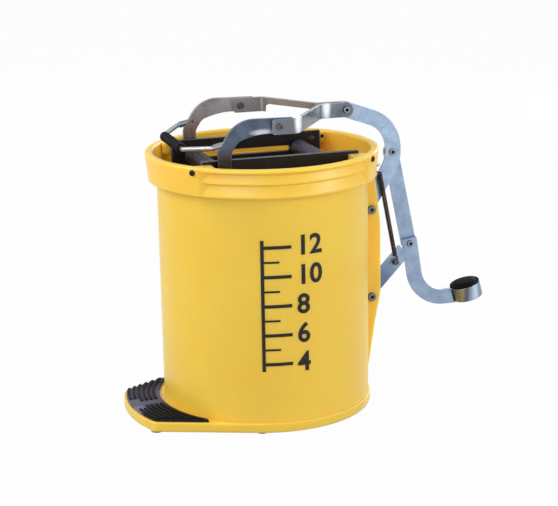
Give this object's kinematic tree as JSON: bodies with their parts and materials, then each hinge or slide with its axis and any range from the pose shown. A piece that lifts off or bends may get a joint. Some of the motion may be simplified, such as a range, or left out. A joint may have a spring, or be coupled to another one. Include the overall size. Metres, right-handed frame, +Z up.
{
  "type": "mop bucket",
  "caption": "Round plastic mop bucket with a foot rest and a pedal linkage that draws a ribbed roller along slotted plates to wring a mop.",
  "frame": {"origin": "on the floor, midway between the foot rest's edge and the pedal's tip, in the plane of the linkage", "axes": "+X from the foot rest towards the pedal, +Y to the rear, +Z up"},
  "size_m": [0.4931, 0.298, 0.3907],
  "materials": {
    "yellow_plastic": "moulded, satin gloss",
    "black_plastic": "moulded, matt",
    "black_rubber": "ribbed rubber",
    "black_steel": "black coated",
    "zinc_steel": "bright zinc plated",
    "bright_steel": "polished",
    "dark_steel": "oiled spring steel"
  },
  "bodies": {
    "bucket": {"bucket": "yellow_plastic", "foot_tread": "black_rubber", "rubber_feet": "black_rubber", "front_side_plate": "black_steel", "rear_side_plate": "black_steel", "plate_screws": "black_steel", "fixed_axle": "zinc_steel", "fixed_axle_clips": "zinc_steel", "crank_pivot_pin": "zinc_steel", "crank_spacers": "zinc_steel", "pedal_pivot_pin": "zinc_steel", "pedal_spacers": "zinc_steel", "spring_eye": "dark_steel", "return_spring": "dark_steel"},
    "pedal": {"pedal_lever": "zinc_steel", "pedal_cup": "bright_steel", "pedal_pad": "black_rubber", "lower_link_pin": "zinc_steel", "spring_stud": "zinc_steel"},
    "crank": {"crank": "zinc_steel", "upper_link_pin": "zinc_steel", "yoke_pin": "zinc_steel"},
    "link": {"link_strip": "zinc_steel"},
    "pull_frame": {"front_pull_arm": "zinc_steel", "rear_pull_arm": "zinc_steel", "front_yoke_leg": "zinc_steel", "rear_yoke_leg": "zinc_steel", "yoke_bolts": "zinc_steel", "grip_bail": "zinc_steel", "grip": "black_plastic", "grip_rivets": "zinc_steel"},
    "carriage": {"moving_axle": "zinc_steel", "moving_axle_clips": "zinc_steel"},
    "moving_roller": {"moving_roller": "black_plastic"},
    "fixed_roller": {"fixed_roller": "black_plastic"}
  },
  "joints": [
    {"name": "pedal_press", "type": "hinge", "parent": "bucket", "child": "pedal", "pos_m": [0.08225, 0, 0.1305], "axis": [0, 1, 0], "range_deg": [0, 34], "stiffness_Nm_per_rad": 3, "springref_deg": -34.38, "deforming": ["return_spring"]},
    {"name": "crank_turn", "type": "hinge", "parent": "bucket", "child": "crank", "pos_m": [0.08225, 0, 0.248], "axis": [0, 1, 0], "range_deg": [0, 43.3]},
    {"name": "link_swing", "type": "hinge", "parent": "crank", "child": "link", "pos_m": [0.11775, 0, 0.319], "axis": [0, 1, 0], "range_deg": [-36.6, 0]},
    {"name": "frame_swing", "type": "hinge", "parent": "crank", "child": "pull_frame", "pos_m": [0.05325, 0, 0.3795], "axis": [0, 1, 0], "range_deg": [-38.5, 0]},
    {"name": "roller_travel", "type": "slide", "parent": "bucket", "child": "carriage", "axis": [1, 0, 0], "range_m": [0, 0.0936]},
    {"name": "moving_roller_spin", "type": "hinge", "parent": "carriage", "child": "moving_roller", "pos_m": [-0.13225, 0, 0.3195], "axis": [0, 1, 0], "continuous": true},
    {"name": "fixed_roller_spin", "type": "hinge", "parent": "bucket", "child": "fixed_roller", "pos_m": [0.01275, 0, 0.3195], "axis": [0, 1, 0], "continuous": true}
  ],
  "couplings": [
    {"joint": "crank_turn", "follows": "pedal_press", "ratio": 1.271},
    {"joint": "link_swing", "follows": "pedal_press", "ratio": -1.0731},
    {"joint": "frame_swing", "follows": "pedal_press", "ratio": -1.1292},
    {"joint": "roller_travel", "follows": "pedal_press", "m_per_rad": 0.15759}
  ]
}
